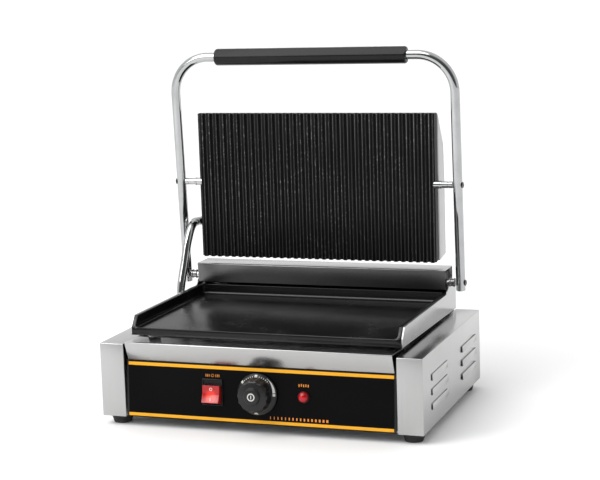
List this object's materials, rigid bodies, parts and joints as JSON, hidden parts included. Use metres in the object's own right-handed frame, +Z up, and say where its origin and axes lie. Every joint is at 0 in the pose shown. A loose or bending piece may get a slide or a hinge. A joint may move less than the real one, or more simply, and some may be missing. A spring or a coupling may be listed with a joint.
{
  "type": "panini press",
  "caption": "Single contact grill: steel base with smooth lower griddle, hinged bail with a ribbed floating upper platen, dial, rocker switch, lamp and pull-out drip tray.",
  "frame": {"origin": "on the table, under the middle of the whole body", "axes": "+X to the machine's right as seen from the front, +Y from the controls to the back, +Z up"},
  "size_m": [0.435, 0.3352, 0.471],
  "materials": {
    "brushed_steel": "fine brushed stainless steel",
    "chrome": "bright chrome plate",
    "zinc_steel": "dull zinc-plated sheet steel",
    "griddle_iron": "black enamelled cast iron, satin",
    "spring_steel": "blackened steel",
    "element_steel": "heat-darkened steel tube",
    "bakelite": "black phenolic, satin",
    "black_plastic": "black nylon, matt",
    "red_plastic": "translucent red plastic",
    "lamp_lens": "clear deep red plastic",
    "label_film": "black printed film with amber stripes",
    "foot_rubber": "moulded black rubber",
    "mineral_wool": "loose mineral wool",
    "ceramic": "white steatite"
  },
  "bodies": {
    "base": {"end_cap_left": "brushed_steel", "end_cap_right": "brushed_steel", "base_pan": "zinc_steel", "top_deck": "brushed_steel", "rear_panel": "brushed_steel", "cable_gland": "black_plastic", "foot_1": "foot_rubber", "foot_2": "foot_rubber", "foot_3": "foot_rubber", "foot_4": "foot_rubber", "tray_shelf": "zinc_steel", "front_panel": "zinc_steel", "control_label": "label_film", "switch_housing": "black_plastic", "thermostat_body": "zinc_steel", "lamp_body": "black_plastic", "lamp_lens": "lamp_lens", "terminal_block": "ceramic", "lower_griddle": "griddle_iron", "side_plate_left": "brushed_steel", "side_plate_right": "brushed_steel", "griddle_spacer_1": "griddle_iron", "griddle_spacer_2": "griddle_iron", "griddle_spacer_3": "griddle_iron", "griddle_spacer_4": "griddle_iron", "lower_element": "element_steel", "lower_heat_shield": "zinc_steel", "hinge_box": "brushed_steel", "hinge_bracket_left": "spring_steel", "hinge_bracket_right": "spring_steel", "torsion_spring_left": "spring_steel", "torsion_spring_right": "spring_steel", "conduit": "chrome", "conduit_ferrule": "chrome"},
    "bail": {"bail_tube": "chrome", "bail_grip": "bakelite", "hinge_shaft": "chrome", "shaft_collar_left": "chrome", "shaft_collar_right": "chrome", "pivot_rod_left": "chrome", "pivot_rod_right": "chrome", "arm_screw_hinge_left": "chrome", "arm_screw_hinge_right": "chrome", "arm_screw_pivot_left": "chrome", "arm_screw_pivot_right": "chrome"},
    "platen": {"upper_griddle": "griddle_iron", "upper_cover": "brushed_steel", "upper_element": "element_steel", "upper_clamp_plate": "zinc_steel", "upper_insulation": "mineral_wool", "conduit_fitting": "chrome"},
    "knob": {"thermostat_knob": "bakelite"},
    "rocker": {"switch_rocker": "red_plastic"},
    "drip_tray": {"drip_tray": "brushed_steel"}
  },
  "joints": [
    {"name": "lid_hinge", "type": "hinge", "parent": "base", "child": "bail", "pos_m": [0, 0.1141, 0.1525], "axis": [1, 0, 0], "range_deg": [0, 90], "stiffness_Nm_per_rad": 5, "springref_deg": -28.65, "deforming": ["conduit", "torsion_spring_left", "torsion_spring_right"]},
    {"name": "platen_tilt", "type": "hinge", "parent": "bail", "child": "platen", "pos_m": [0, 0.1064, 0.28598], "axis": [1, 0, 0], "range_deg": [0, 6]},
    {"name": "knob_turn", "type": "hinge", "parent": "base", "child": "knob", "pos_m": [0, -0.13921, 0.05189], "axis": [0, -0.9972, 0.0751], "range_deg": [-300, 0]},
    {"name": "switch_rock", "type": "hinge", "parent": "base", "child": "rocker", "pos_m": [-0.0608, -0.13853, 0.04753], "axis": [1, 0, 0], "range_deg": [0, 22]},
    {"name": "drip_tray_slide", "type": "slide", "parent": "base", "child": "drip_tray", "axis": [0, -1, 0], "range_m": [0, 0.06]}
  ]
}
